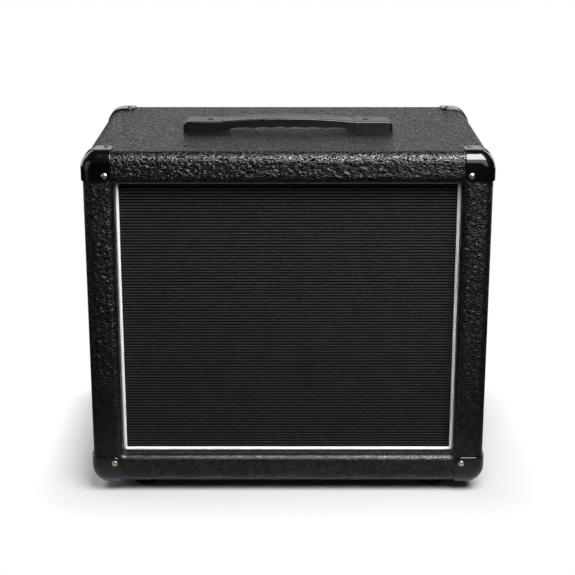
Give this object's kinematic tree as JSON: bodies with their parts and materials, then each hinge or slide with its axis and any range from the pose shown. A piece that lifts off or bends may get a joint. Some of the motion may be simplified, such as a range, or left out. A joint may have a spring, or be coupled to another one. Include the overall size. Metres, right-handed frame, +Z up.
{
  "type": "guitar speaker cabinet",
  "caption": "Closed-back guitar speaker cabinet: vinyl-covered wooden box, recessed grille with piping, moulded corners, strap handle, feet and a rear jack.",
  "frame": {"origin": "on the floor, under the middle of the cabinet", "axes": "+X to the right as seen from the front, +Y to the back, +Z up; the grille faces -Y"},
  "size_m": [0.508, 0.338, 0.4628],
  "materials": {
    "birch_ply": "plain sanded",
    "embossed_vinyl": "embossed leather grain, satin",
    "back_board": "vinyl-covered, black",
    "grille_cloth": "woven, matt",
    "white_piping": "satin",
    "black_abs": "moulded, polished",
    "brass_screw": "plated",
    "black_screw": "black phosphate",
    "zinc_steel": "zinc plated",
    "moulded_rubber": "satin",
    "cap_plastic": "moulded, satin",
    "black_frame": "powder coat",
    "pressed_paper": "felted",
    "gasket_card": "soft",
    "treated_cloth": "resin dipped",
    "ferrite": "sintered",
    "copper_wire": "enamelled",
    "fibre_board": "laminate",
    "wire_sleeve": "PVC",
    "nickel": "plated"
  },
  "bodies": {
    "cabinet": {"top_panel": "birch_ply", "bottom_panel": "birch_ply", "left_panel": "birch_ply", "right_panel": "birch_ply", "front_rail_top": "birch_ply", "front_rail_bottom": "birch_ply", "front_rail_left": "birch_ply", "front_rail_right": "birch_ply", "rear_rail_top": "birch_ply", "rear_rail_bottom": "birch_ply", "rear_rail_left": "birch_ply", "rear_rail_right": "birch_ply", "baffle": "birch_ply", "corner_front_top_left": "black_abs", "corner_front_top_right": "black_abs", "corner_front_bottom_left": "black_abs", "corner_front_bottom_right": "black_abs", "corner_rear_top_left": "black_abs", "corner_rear_top_right": "black_abs", "corner_rear_bottom_left": "black_abs", "corner_rear_bottom_right": "black_abs", "foot_front_left": "moulded_rubber", "foot_front_right": "moulded_rubber", "foot_rear_left": "moulded_rubber", "foot_rear_right": "moulded_rubber", "vinyl_covering": "embossed_vinyl", "back_panel": "back_board", "grille_cloth": "grille_cloth", "piping": "white_piping", "corner_screws": "brass_screw", "back_panel_screws": "black_screw", "baffle_screws": "black_screw", "foot_screws": "zinc_steel", "handle_bolts": "black_screw", "handle_nuts": "zinc_steel", "handle_core": "zinc_steel", "handle_cap_left": "cap_plastic", "handle_cap_right": "cap_plastic", "speaker_basket": "black_frame", "speaker_gasket": "gasket_card", "surround": "pressed_paper", "spider": "treated_cloth", "top_plate": "zinc_steel", "magnet": "ferrite", "yoke": "zinc_steel", "terminal_board": "fibre_board", "terminal_lugs": "zinc_steel", "tinsel_leads": "copper_wire", "speaker_bolts": "black_screw", "speaker_tee_nuts": "zinc_steel", "speaker_leads": "wire_sleeve", "jack_dish": "cap_plastic", "jack_dish_screws": "black_screw", "jack_socket": "cap_plastic", "jack_nut": "nickel"},
    "cone_assembly": {"cone": "pressed_paper", "dust_cap": "pressed_paper", "voice_coil_former": "fibre_board", "voice_coil": "copper_wire"},
    "handle": {"handle_strap": "moulded_rubber"}
  },
  "joints": [
    {"name": "cone_travel", "type": "slide", "parent": "cabinet", "child": "cone_assembly", "axis": [0, -1, 0], "range_m": [-0.003, 0.003], "stiffness_N_per_m": 6000, "deforming": ["surround", "spider", "tinsel_leads"]},
    {"name": "handle_lift", "type": "slide", "parent": "cabinet", "child": "handle", "axis": [0, 0, 1], "range_m": [0, 0.014], "stiffness_N_per_m": 300, "deforming": ["handle_core"]}
  ]
}
